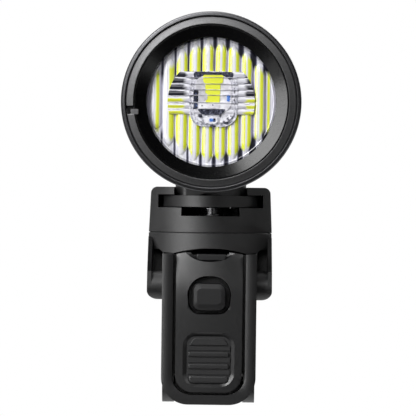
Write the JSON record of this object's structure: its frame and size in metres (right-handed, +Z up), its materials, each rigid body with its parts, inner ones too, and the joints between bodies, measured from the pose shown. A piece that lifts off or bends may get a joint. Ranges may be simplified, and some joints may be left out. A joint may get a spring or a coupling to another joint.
{
  "type": "bike headlight",
  "caption": "Bicycle headlight with a round fluted lens, a tubular battery body on a sliding foot, and a quick-release handlebar clamp with a front lever.",
  "frame": {"origin": "centre of the handlebar bore", "axes": "+X along the handlebar, -Y the way the lamp shines, +Z up"},
  "size_m": [0.045, 0.1206, 0.0996],
  "materials": {
    "anodised_head": "fine satin black anodise",
    "shield_plastic": "satin moulded black",
    "lens_clear": "clear moulded polycarbonate",
    "black_rubber": "matt black rubber",
    "reflector_mirror": "vacuum metallised",
    "led_phosphor": "yellow phosphor",
    "board_white": "white solder mask",
    "board_green": "green solder mask",
    "wire_red": "red wire sleeve",
    "contact_brass": "plated",
    "cell_wrap": null,
    "steel": "bright steel",
    "clamp_plastic": "finely textured black",
    "lever_plastic": "finely textured black"
  },
  "bodies": {
    "clamp": {"saddle": "clamp_plastic", "saddle_pad": "black_rubber", "hinge_pin": "steel", "keeper_pin": "steel", "swivel_nut": "steel", "swivel_screw": "steel", "swivel_washer": "steel", "friction_ring": "black_rubber"},
    "jaw": {"jaw": "clamp_plastic", "jaw_pad": "black_rubber", "lever_pin": "steel"},
    "lever": {"lever_frame": "lever_plastic", "lever_panel": "lever_plastic", "thumb_grip": "black_rubber", "button_spring": "steel"},
    "release": {"release_button": "lever_plastic"},
    "dock": {"dock": "clamp_plastic", "latch_screw": "steel"},
    "latch": {"latch": "clamp_plastic"},
    "lamp": {"head_housing": "anodised_head", "bezel_ring": "anodised_head", "light_shield": "shield_plastic", "front_lens": "lens_clear", "lens_gasket": "black_rubber", "reflector": "reflector_mirror", "led_chip": "led_phosphor", "led_board": "board_white", "led_wires": "wire_red", "driver_board": "board_green", "driver_retainer": "contact_brass", "head_seal": "black_rubber", "battery_tube": "anodised_head", "front_contact_spring": "contact_brass", "battery_cell": "cell_wrap", "rear_contact_spring": "contact_brass", "tail_cap": "anodised_head", "tail_seal": "black_rubber", "tail_board": "board_green", "usb_port": "steel", "button_surround": "anodised_head", "tact_switch": "steel", "foot": "clamp_plastic", "foot_screws": "steel"},
    "power": {"power_button": "black_rubber"},
    "cover": {"port_cover": "black_rubber"}
  },
  "joints": [
    {"name": "jaw_swing", "type": "hinge", "parent": "clamp", "child": "jaw", "pos_m": [0, 0.0225, 0.006], "axis": [1, 0, 0], "range_deg": [0, 42]},
    {"name": "lever_swing", "type": "hinge", "parent": "jaw", "child": "lever", "pos_m": [0, -0.0215, -0.0165], "axis": [1, 0, 0], "range_deg": [0, 105]},
    {"name": "release_press", "type": "slide", "parent": "lever", "child": "release", "axis": [0, 1, 0], "range_m": [0, 0.0012], "stiffness_N_per_m": 2500, "deforming": ["button_spring"]},
    {"name": "dock_swivel", "type": "hinge", "parent": "clamp", "child": "dock", "pos_m": [0, 0, 0.0224], "axis": [0, 0, 1], "range_deg": [-15, 15]},
    {"name": "lamp_slide", "type": "slide", "parent": "dock", "child": "lamp", "axis": [0, -1, 0], "range_m": [0, 0.045], "deforming": ["latch"]},
    {"name": "latch_press", "type": "hinge", "parent": "dock", "child": "latch", "pos_m": [0, 0.0073, 0.0273], "axis": [-1, 0, 0], "range_deg": [0, 8], "stiffness_Nm_per_rad": 0.9},
    {"name": "power_press", "type": "slide", "parent": "lamp", "child": "power", "axis": [0, 0, -1], "range_m": [0, 0.0008], "stiffness_N_per_m": 2500},
    {"name": "cover_swing", "type": "hinge", "parent": "lamp", "child": "cover", "pos_m": [0, 0.06732, 0.0499], "axis": [-1, 0, 0], "range_deg": [0, 110]}
  ],
  "couplings": [
    {"joint": "jaw_swing", "follows": "lever_swing", "ratio": 0.4}
  ]
}
